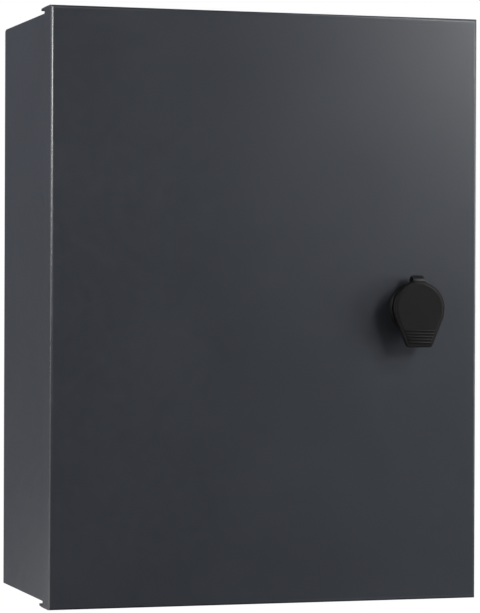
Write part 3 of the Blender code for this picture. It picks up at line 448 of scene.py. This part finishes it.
def cap_outline(cap):
    """Front view of the cap from the lock's axis: a disc, a tapered grip tab and a flared neck."""
    box_low, box_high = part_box("lock_cap")
    drop = LOCK.z - box_low.z
    top = box_high.z - LOCK.z
    radius = (box_high.x - box_low.x) / 2
    corner = Vector((cap.tab_width / 2, -drop))
    reach = math.degrees(math.acos(radius / corner.length))
    tangent = math.degrees(math.atan2(corner.y, corner.x)) + reach
    touch = Vector((math.cos(math.radians(tangent)), math.sin(math.radians(tangent)))) * radius
    side = (touch - corner).normalized()
    floor = Vector((-1, 0))
    start, end = corner + floor * cap.tab_corner, corner + side * cap.tab_corner
    half = [Vector((step * start.x / TAB_STEPS, -drop)) for step in range(TAB_STEPS)]
    half += [quadratic(start, corner, end, step / TAB_STEPS) for step in range(TAB_STEPS + 1)]
    half += [end.lerp(touch, step / SIDE_STEPS) for step in range(1, SIDE_STEPS)]
    half += arc((0, 0), radius, tangent, cap.flare, DISC_STEPS)
    leave = half[-1]
    neck = cap.neck_width / 2
    along = Vector((-leave.y, leave.x)).normalized()
    bend = leave + along * ((leave.x - neck) / -along.x)
    tip = Vector((neck, top))
    half += [quadratic(leave, bend, tip, step / NECK_STEPS) for step in range(1, NECK_STEPS + 1)]
    half += [Vector((neck * (1 - step / NECK_END_STEPS), top)) for step in range(1, NECK_END_STEPS)]
    return half + [Vector((0, top))] + [Vector((-x, z)) for x, z in half[:0:-1]]


def quadratic(start, bend, end, share):
    """A point on the curve that leaves start and reaches end, drawn towards bend."""
    return start * (1 - share) ** 2 + bend * 2 * share * (1 - share) + end * share**2


def gap_to_edge(point, outline):
    """Distance from a point to a closed outline."""
    best = math.inf
    for first, second in zip(outline, outline[1:] + outline[:1]):
        run = second - first
        share = max(0.0, min(1.0, (point - first).dot(run) / run.length_squared))
        best = min(best, (first + run * share - point).length)
    return best


def eased(value):
    """A smooth step from 0 to 1."""
    value = max(0.0, min(1.0, value))
    return value * value * (3 - 2 * value)


class CapFront:
    """The relief of the cap's front face, measured back from its highest point."""

    def __init__(self, cap, outline):
        self.cap = cap
        self.outline = outline

    def depth(self, point):
        """Rounded rim, a narrow land, and a soft step up to the raised middle."""
        cap = self.cap
        gap = gap_to_edge(point, self.outline)
        rim = cap.rim_radius
        depth = 0.0
        if gap < rim:
            depth += rim - math.sqrt(max(0.0, rim**2 - (rim - gap) ** 2))
        depth += cap.land_drop * (1 - eased((gap - cap.land_width) / cap.land_slope))
        return depth


def cap_plate(cap, mesh, outline, front, back):
    """The cap's plate, as rings from its middle out to the rim and round to its back face."""
    shape = CapFront(cap, outline)
    rings = []
    for share in PLATE_SHARES:
        rings.append([point * share for point in outline])
    for inset in PLATE_INSETS:
        rings.append([point * (1 - inset / point.length) for point in outline])
    made = []
    for ring in rings:
        made.append([mesh.verts.new(raised(point, front + shape.depth(point))) for point in ring])
    rim = front + cap.land_drop + cap.rim_radius
    made.append([mesh.verts.new(raised(point, rim)) for point in outline])
    for share in (0.5, 1.0):
        level = rim + (back - cap.back_edge - rim) * share
        made.append([mesh.verts.new(raised(point, level)) for point in outline])
    inner = [point * (1 - cap.back_edge / point.length) for point in outline]
    made.append([mesh.verts.new(raised(point, back)) for point in inner])
    skin(mesh, made)
    mesh.faces.new(made[-1])
    centre = mesh.verts.new(raised(Vector((0, 0)), front))
    first = made[0]
    for index, vert in enumerate(first):
        mesh.faces.new((centre, vert, first[(index + 1) % len(first)]))


def raised(point, y):
    """A point of a front view that is centred on the lock, at the given y."""
    return Vector((LOCK.x + point.x, y, LOCK.z + point.y))


def turned(mesh, profile, sides):
    """Adds a closed profile of (radius, distance in front of the door), turned round the lock's axis."""
    rings = []
    for radius, height in profile:
        ring = []
        for index in range(sides):
            angle = 2 * math.pi * index / sides
            point = Vector((radius * math.cos(angle), radius * math.sin(angle)))
            ring.append(mesh.verts.new(raised(point, LOCK.y - height)))
        rings.append(ring)
    skin(mesh, rings + rings[:1])


def rounded(corners, radius, steps=4):
    """A closed profile with each of its corners rounded."""
    points = []
    for index, corner in enumerate(corners):
        corner = Vector(corner)
        before = (Vector(corners[index - 1]) - corner).normalized()
        after = (Vector(corners[(index + 1) % len(corners)]) - corner).normalized()
        start, end = corner + before * radius, corner + after * radius
        points += [quadratic(start, corner, end, step / steps) for step in range(steps + 1)]
    return [(point.x, point.y) for point in points]


def grip_rib(mesh, centre, half, height, rise, y):
    """A rounded bar across the tab, with its ends drawn down into the plate."""
    rings = []
    for along in RIB_STATIONS:
        past = max(0.0, abs(along) - RIB_END_START) / (1 - RIB_END_START)
        swell = math.sqrt(max(0.0, 1 - past**2))
        ring = []
        for step in range(RIB_STEPS + 1):
            angle = math.pi * step / RIB_STEPS
            z = centre + math.cos(angle) * height / 2 * max(swell, RIB_END_HEIGHT)
            lift = math.sin(angle) * rise * max(swell, RIB_END_RISE)
            ring.append(mesh.verts.new((LOCK.x + along * half, y - lift, LOCK.z + z)))
        ring.append(mesh.verts.new((LOCK.x + along * half, y + rise, LOCK.z + centre)))
        rings.append(ring)
    skin(mesh, rings)
    mesh.faces.new(rings[0])
    mesh.faces.new(rings[-1])


def make_cap(cap, material):
    """The flip cap: its plate, the grip ribs on its tab and the ring that plugs into the base."""
    low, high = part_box("lock_cap")
    outline = cap_outline(cap)
    front = low.y
    mesh = bmesh.new()
    cap_plate(cap, mesh, outline, front + cap.rib_rise, front + cap.plate)
    plate = cap_piece("weather_cap_plate", mesh, material, "weather_cap")
    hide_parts("lock_cap")

    ribs = bmesh.new()
    drop = LOCK.z - low.z
    for index in range(cap.rib_count):
        above = cap.rib_first - index * cap.rib_pitch
        half = cap.tab_width / 2 - cap.rib_margin + above * cap.tab_lean
        height = cap.rib_pitch * RIB_SHARE
        grip_rib(ribs, above - drop, half, height, cap.rib_rise, front + cap.rib_rise)
    cap_piece("weather_cap_grip_ribs", ribs, material, "weather_cap")

    ring = bmesh.new()
    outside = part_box("cap_base")[1].x - LOCK.x - cap.plug_inset
    inside = outside - cap.plug_wall
    root = LOCK.y - front - cap.plate + PLUG_BITE
    end = LOCK.y - high.y
    profile = [(inside, root), (inside, end), (outside, end), (outside, root)]
    turned(ring, rounded(profile, PLUG_CORNER), PLUG_SIDES)
    cap_piece("weather_cap_plug", ring, material, "weather_cap")


def make_base(cap, material):
    """Moulded ring round the lock, with a soft lip and a seat for the cap."""
    low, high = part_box("cap_base")
    outside = (high.x - low.x) / 2
    height = LOCK.y - low.y
    foot = LOCK.y - high.y
    seat = outside - cap.plug_inset + PLUG_GAP
    bore = cap.base_bore / 2
    floor = foot + cap.base_floor
    mesh = bmesh.new()
    corners = [
        (bore, foot),
        (outside, foot),
        (outside, height),
        (seat, height),
        (seat, floor),
        (bore, floor),
    ]
    turned(mesh, rounded(corners, BASE_CORNER), BASE_SIDES)
    base = cap_piece("cap_base_moulding", mesh, material, "door")
    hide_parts("cap_base")


def make_strap(cap, material):
    """Rubber strap arched over from the base to the cap's neck, narrower in the middle."""
    low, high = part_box("cap_strap")
    joint = next(joint for joint in frame["joints"] if joint["name"] == "cap_flip")
    centre = Vector(joint["pos_m"])
    outer = high.z - centre.z
    inner = outer - cap.strap_thickness
    half = (high.x - low.x) / 2
    mesh = bmesh.new()
    rings = []
    for step in range(STRAP_STEPS + 1):
        angle = math.radians(cap.strap_start + (cap.strap_end - cap.strap_start) * step / STRAP_STEPS)
        side = half * (1 - cap.strap_waist * math.sin(math.pi * step / STRAP_STEPS))
        corners = [(-side, inner), (side, inner), (side, outer), (-side, outer)]
        ring = []
        for x, radius in rounded(corners, STRAP_CORNER, STRAP_CORNER_STEPS):
            place = (LOCK.x + x, centre.y + radius * math.cos(angle), centre.z + radius * math.sin(angle))
            ring.append(mesh.verts.new(place))
        rings.append(ring)
    skin(mesh, rings)
    mesh.faces.new(rings[0])
    mesh.faces.new(rings[-1])
    strap = cap_piece("cap_strap_band", mesh, material, None)
    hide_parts("cap_strap")
    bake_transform(strap)


# Studio

LIGHT_TARGET = (0, -0.08, 0)
FLOOR_RINGS = (1.5, 6.0, 24.0, 96.0)
FLOOR_SIDES = 48
WHITE = (1.0, 1.0, 1.0)
WARM = (1.0, 0.97, 0.96)
# Name, place, width, height, watts, colour, and what the soft box adds: "all", "matt", which casts light
# but isn't reflected, or "shine", which is only a reflection in the door
SOFT_BOXES = (
    ("key_upper", (0.80, -1.05, 0.50), 0.20, 0.20, 1.2, WHITE, "all"),
    ("key_middle", (0.62, -0.95, 0.42), 0.20, 0.20, 0.35, WHITE, "all"),
    ("key_side", (0.55, -0.80, 0.25), 0.20, 0.20, 0.8, WHITE, "all"),
    ("key_close", (0.40, -0.55, 0.35), 0.25, 0.25, 0.54, WHITE, "all"),
    ("key_top", (0.75, -0.75, 0.75), 0.20, 0.20, 3.0, WHITE, "matt"),
    ("key_wide", (0.90, -1.00, 0.40), 0.60, 0.60, 0.9, WHITE, "all"),
    ("right_wall", (1.30, -0.70, 0.10), 0.50, 0.80, 11.3, WHITE, "all"),
    ("low_right", (0.80, -1.20, -0.60), 0.60, 0.60, 0.6, WHITE, "all"),
    ("low_front", (-0.20, -1.30, -1.00), 0.90, 0.60, 1.0, WHITE, "all"),
    ("left_wall", (-1.50, -0.30, 0.00), 0.80, 1.60, 12.6, WARM, "all"),
    ("left_top", (-1.30, 0.20, 0.80), 0.60, 0.60, 16.5, WARM, "all"),
    ("left_rear", (-1.00, 1.00, -0.70), 0.80, 0.80, 4.6, WARM, "all"),
    ("rear", (0.90, 1.50, 0.50), 1.00, 1.00, 9.0, WHITE, "all"),
    ("edge_high", (-0.90, -1.30, 0.60), 0.30, 0.30, 25.9, WHITE, "shine"),
    ("edge_close", (-0.80, -1.00, 0.25), 0.20, 0.20, 8.8, WHITE, "shine"),
    ("edge_low", (-0.90, -1.00, 0.00), 0.20, 0.50, 2.5, WHITE, "shine"),
)


def soft_box(name, place, width, height, power, colour, adds):
    """A soft box facing the middle of the mailbox."""
    light = bpy.data.lights.new(name, "AREA")
    light.shape = "RECTANGLE"
    light.size, light.size_y = width, height
    light.energy = power
    light.color = colour
    lamp = bpy.data.objects.new(name, light)
    bpy.context.scene.collection.objects.link(lamp)
    lamp.location = place
    lamp.rotation_euler = (Vector(LIGHT_TARGET) - Vector(place)).to_track_quat("-Z", "Y").to_euler()
    lamp.visible_camera = False
    lamp.visible_diffuse = adds != "shine"
    lamp.visible_glossy = adds != "matt"
    if adds == "shine":
        shone = bpy.data.collections.new(name + "_shone")
        shone.objects.link(NODES["door_panel"])
        lamp.light_linking.receiver_collection = shone


def make_world(stage):
    """The backdrop as the camera sees it, and a weak even light for everything else."""
    world = bpy.data.worlds.new("studio_air")
    world.use_nodes = True
    tree = world.node_tree
    tree.nodes.clear()
    seen = tree.nodes.new("ShaderNodeBackground")
    seen.inputs["Color"].default_value = (*stage.backdrop, 1)
    seen.inputs["Strength"].default_value = 1.0
    fill = tree.nodes.new("ShaderNodeBackground")
    fill.inputs["Color"].default_value = (*stage.fill_colour, 1)
    fill.inputs["Strength"].default_value = stage.fill
    path = tree.nodes.new("ShaderNodeLightPath")
    mix = tree.nodes.new("ShaderNodeMixShader")
    out = tree.nodes.new("ShaderNodeOutputWorld")
    tree.links.new(path.outputs["Is Camera Ray"], mix.inputs[0])
    tree.links.new(fill.outputs[0], mix.inputs[1])
    tree.links.new(seen.outputs[0], mix.inputs[2])
    tree.links.new(mix.outputs[0], out.inputs["Surface"])
    bpy.context.scene.world = world


def make_floor(stage):
    """A wide pale sheet well below the mailbox. It is only seen, and neither lights nor shades it."""
    mesh = bmesh.new()
    rings = []
    for radius in FLOOR_RINGS:
        circle = arc((0, 0), radius, 0, 360, FLOOR_SIDES)[:-1]
        rings.append([mesh.verts.new((point.x, point.y, stage.floor_level)) for point in circle])
    skin(mesh, rings)
    mesh.faces.new(rings[0])
    floor = new_object("studio_floor", mesh, studio_floor(stage))
    floor.visible_diffuse = False
    floor.visible_glossy = False
    floor.visible_shadow = False


def make_camera(stage):
    """A long lens that looks at the mailbox from its front left."""
    data = bpy.data.cameras.new("camera")
    data.sensor_width = 36.0
    data.lens = stage.lens
    data.clip_start = 0.01
    data.clip_end = 200.0
    camera = bpy.data.objects.new("camera", data)
    bpy.context.scene.collection.objects.link(camera)
    yaw, pitch, roll = stage.camera_turn
    facing = Matrix.Rotation(-yaw, 4, "Z") @ Matrix.Rotation(pitch + math.pi / 2, 4, "X")
    camera.matrix_world = Matrix.Translation(stage.camera_place) @ facing @ Matrix.Rotation(roll, 4, "Z")
    bpy.context.scene.camera = camera


# Settings

def number_setting(name, description, default):
    return FloatProperty(name=name, description=description, default=default)


def share_setting(name, description, default):
    return FloatProperty(
        name=name, description=description, default=default, subtype="FACTOR", min=0, max=1, precision=3
    )


def length_setting(name, description, default):
    return FloatProperty(name=name, description=description, default=default, unit="LENGTH", precision=5)


def colour_setting(name, description, default):
    return FloatVectorProperty(
        name=name, description=description, default=default, subtype="COLOR", min=0, max=1, precision=4
    )


class PowderCoatSettings(bpy.types.PropertyGroup):
    colour: colour_setting("Colour", "Colour of the powder coat", (0.040, 0.0455, 0.057))
    mottle: share_setting("Mottle", "How far the colour strays", 0.08)
    grain: length_setting("Grain", "Width of one grain of the texture", 0.0006)
    relief: share_setting("Relief", "Depth of the texture, as a share of the grain", 0.07)
    cloud: length_setting("Cloud", "Width of the soft patches in the coat", 0.07)
    roughness: share_setting("Roughness", "Roughness of the coat", 0.33)


class FittingSettings(bpy.types.PropertyGroup):
    zinc: colour_setting("Zinc", "Colour of the plating", (0.66, 0.67, 0.68))
    passivate: colour_setting("Passivate", "Tint of the plating where it is clouded", (0.70, 0.68, 0.60))
    zinc_roughness: share_setting("Plating roughness", "Roughness of the plating", 0.34)
    draw_pitch: length_setting("Draw lines", "Distance between the strip's draw lines", 0.0006)
    draw_relief: length_setting("Draw relief", "Depth of the draw lines", 0.00006)
    nickel: colour_setting("Nickel", "Colour of the lock's head", (0.72, 0.71, 0.68))
    nickel_roughness: share_setting("Nickel roughness", "Roughness of the lock's head", 0.16)
    ring_pitch: length_setting("Ring pitch", "Distance between the lathe's rings on the lock", 0.0005)
    ring_relief: length_setting("Ring relief", "Depth of the lathe's rings", 0.00003)
    rubber: colour_setting("Rubber", "Colour of the bumpers and pads", (0.018, 0.018, 0.019))
    rubber_roughness: share_setting("Rubber roughness", "Roughness of the rubber", 0.72)
    rubber_relief: length_setting("Rubber relief", "Depth of the rubber's grit", 0.00008)
    nylon: colour_setting("Nylon", "Colour of the hinge washers", (0.80, 0.79, 0.74))
    nylon_roughness: share_setting("Nylon roughness", "Roughness of the nylon where it is smoothest", 0.4)
    nylon_relief: length_setting("Nylon relief", "Depth of the nylon's unevenness", 0.00004)
    edge: length_setting("Edge", "Rounding of the sheet's edges", 0.00025)


class CapSettings(bpy.types.PropertyGroup):
    colour: colour_setting("Colour", "Colour of the moulding", (0.0050, 0.0049, 0.0048))
    index: number_setting("Index", "Refractive index of the cap and base", 1.32)
    roughness: share_setting("Roughness", "Roughness of the cap and base", 0.42)
    strap_index: number_setting("Strap index", "Refractive index of the strap", 1.7)
    strap_roughness: share_setting("Strap roughness", "Roughness of the strap", 0.42)
    skin: length_setting("Skin", "Width of one pit of the moulding's skin", 0.0004)
    relief: share_setting("Relief", "Depth of the skin, as a share of a pit's width", 0.12)
    plate: length_setting("Plate", "Thickness of the cap", 0.004)
    tab_width: length_setting("Tab width", "Width of the grip tab at its end", 0.018)
    tab_corner: length_setting("Tab corner", "Length that a rounded corner of the tab takes up", 0.0022)
    tab_lean: share_setting("Tab lean", "How much each side of the tab leans outwards", 0.38)
    flare: number_setting("Flare", "Angle at which the disc runs into the neck, in degrees", 66.0)
    neck_width: length_setting("Neck width", "Width of the neck", 0.0082)
    rim_radius: length_setting("Rim", "Rounding of the cap's front edge", 0.0006)
    land_width: length_setting("Land", "Width of the lower land inside the rim", 0.0015)
    land_slope: length_setting("Land slope", "Width of the step up from the land", 0.0009)
    land_drop: length_setting("Land drop", "Height of the step up from the land", 0.00012)
    back_edge: length_setting("Back edge", "Chamfer of the cap's back edge", 0.0004)
    rib_count: IntProperty(name="Ribs", description="Number of grip ribs", default=5, min=0)
    rib_pitch: length_setting("Rib pitch", "Distance between ribs", 0.002)
    rib_first: length_setting("First rib", "Height of the first rib above the end of the tab", 0.0112)
    rib_rise: length_setting("Rib rise", "Height of a rib", 0.0004)
    rib_margin: length_setting("Rib margin", "From the end of a rib to the side of the tab", 0.0022)
    plug_inset: length_setting("Plug inset", "Cap's ring inside the outside of the base", 0.0031)
    plug_wall: length_setting("Plug wall", "Thickness of the cap's ring", 0.002)
    base_bore: length_setting("Base bore", "Width of the hole in the base", 0.0166)
    base_floor: length_setting("Base floor", "Thickness of the base under the lock's head", 0.0015)
    strap_thickness: length_setting("Strap", "Thickness of the strap", 0.0012)
    strap_waist: share_setting("Strap waist", "How much narrower the strap is in its middle", 0.06)
    strap_start: number_setting("Strap start", "Angle of the strap's foot, in degrees", 2.0)
    strap_end: number_setting("Strap end", "Angle where the strap meets the neck, in degrees", 163.0)


class StageSettings(bpy.types.PropertyGroup):
    floor: colour_setting("Floor", "Colour of the floor", (0.86, 0.86, 0.86))
    floor_glow: share_setting("Floor glow", "Evenness of the floor near the mailbox", 0.35)
    floor_level: length_setting("Floor level", "Height of the floor", -0.60)
    fade_start: length_setting("Fade start", "Where the floor starts to fade into the backdrop", 0.4)
    fade_end: length_setting("Fade end", "Where the floor meets the backdrop", 1.4)
    backdrop: colour_setting("Backdrop", "Colour behind the mailbox", (1.0, 1.0, 1.0))
    fill_colour: colour_setting("Fill colour", "Colour of the light from all round", (1.0, 1.0, 1.0))
    fill: number_setting("Fill", "Strength of the light from all round", 0.05)
    light: number_setting("Light", "Share of the soft boxes' power", 1.0)
    lens: number_setting("Lens", "Focal length in millimetres", 163.92)
    camera_place: FloatVectorProperty(
        name="Camera",
        description="Where the camera stands",
        default=(-0.57206, -1.95408, 0.00858),
        subtype="TRANSLATION",
        unit="LENGTH",
        precision=5,
    )
    camera_turn: FloatVectorProperty(
        name="Camera turn",
        description="How far the camera is turned to the right, tilted up and rolled",
        default=(math.radians(17.0880), math.radians(-0.2303), math.radians(0.2141)),
        subtype="EULER",
        unit="ROTATION",
    )


# Operators

class MAILBOX_OT_coat_sheet(bpy.types.Operator):
    """Powder-coat the folded sheet pieces"""

    bl_idname = "mailbox.coat_sheet"
    bl_label = "Coat Sheet Pieces"

    def execute(self, context):
        material = powder_coat(context.scene.mailbox_coat)
        dress(SHEET_PIECES, material, context.scene.mailbox_fittings.edge)
        return {"FINISHED"}


class MAILBOX_OT_plate_fittings(bpy.types.Operator):
    """Plate the hinges, strike, cam and screws"""

    bl_idname = "mailbox.plate_fittings"
    bl_label = "Plate Fittings"

    def execute(self, context):
        look = context.scene.mailbox_fittings
        dress(PLATED_PIECES, plated_steel(look), look.edge / 2)
        return {"FINISHED"}


class MAILBOX_OT_finish_lock(bpy.types.Operator):
    """Finish the lock's head and key plug"""

    bl_idname = "mailbox.finish_lock"
    bl_label = "Finish Lock"

    def execute(self, context):
        look = context.scene.mailbox_fittings
        dress(LOCK_PIECES, turned_zinc(look), look.edge / 2)
        return {"FINISHED"}


class MAILBOX_OT_finish_soft_parts(bpy.types.Operator):
    """Finish the rubber bumpers and pads and the nylon washers"""

    bl_idname = "mailbox.finish_soft_parts"
    bl_label = "Finish Rubber and Nylon"

    def execute(self, context):
        look = context.scene.mailbox_fittings
        dress(RUBBER_PIECES, black_rubber(look))
        dress(NYLON_PIECES, white_nylon(look))
        return {"FINISHED"}


class MAILBOX_OT_mould_cap(bpy.types.Operator):
    """Mould the weather cap, its base and the strap between them"""

    bl_idname = "mailbox.mould_cap"
    bl_label = "Mould Weather Cap"

    def execute(self, context):
        cap = context.scene.mailbox_cap
        material = moulded_cap(cap, "cap_moulding", cap.roughness, cap.index)
        make_base(cap, material)
        make_cap(cap, material)
        make_strap(cap, moulded_cap(cap, "strap_moulding", cap.strap_roughness, cap.strap_index))
        return {"FINISHED"}


class MAILBOX_OT_set_stage(bpy.types.Operator):
    """Lay the floor, hang the soft boxes and set the camera"""

    bl_idname = "mailbox.set_stage"
    bl_label = "Set Stage"

    def execute(self, context):
        stage = context.scene.mailbox_stage
        make_world(stage)
        make_floor(stage)
        make_camera(stage)
        for name, place, width, height, power, colour, adds in SOFT_BOXES:
            soft_box(name, place, width, height, power * stage.light, colour, adds)
        context.scene.view_settings.view_transform = "Standard"
        return {"FINISHED"}


class MAILBOX_PT_looks(bpy.types.Panel):
    """Lists the settings and the operators"""

    bl_label = "Wall Mailbox"
    bl_idname = "MAILBOX_PT_looks"
    bl_space_type = "VIEW_3D"
    bl_region_type = "UI"
    bl_category = "Mailbox"

    def draw(self, context):
        layout = self.layout
        for group in SETTINGS:
            settings = getattr(context.scene, group)
            column = layout.column(heading=group.replace("mailbox_", "").capitalize())
            for name in settings.bl_rna.properties.keys():
                if name not in ("rna_type", "name"):
                    column.prop(settings, name)
        for operator in OPERATORS:
            layout.operator(operator.bl_idname)


SETTINGS = {
    "mailbox_coat": PowderCoatSettings,
    "mailbox_fittings": FittingSettings,
    "mailbox_cap": CapSettings,
    "mailbox_stage": StageSettings,
}
OPERATORS = (
    MAILBOX_OT_coat_sheet,
    MAILBOX_OT_plate_fittings,
    MAILBOX_OT_finish_lock,
    MAILBOX_OT_finish_soft_parts,
    MAILBOX_OT_mould_cap,
    MAILBOX_OT_set_stage,
)


def register():
    for kind in (*SETTINGS.values(), *OPERATORS, MAILBOX_PT_looks):
        bpy.utils.register_class(kind)
    for name, kind in SETTINGS.items():
        setattr(bpy.types.Scene, name, PointerProperty(type=kind))


def unregister():
    for name in SETTINGS:
        delattr(bpy.types.Scene, name)
    for kind in (MAILBOX_PT_looks, *OPERATORS, *SETTINGS.values()):
        bpy.utils.unregister_class(kind)


def main():
    register()
    bpy.ops.mailbox.coat_sheet()
    bpy.ops.mailbox.plate_fittings()
    bpy.ops.mailbox.finish_lock()
    bpy.ops.mailbox.finish_soft_parts()
    bpy.ops.mailbox.mould_cap()
    bpy.ops.mailbox.set_stage()
    bpy.context.view_layer.update()


if __name__ == "__main__":
    main()
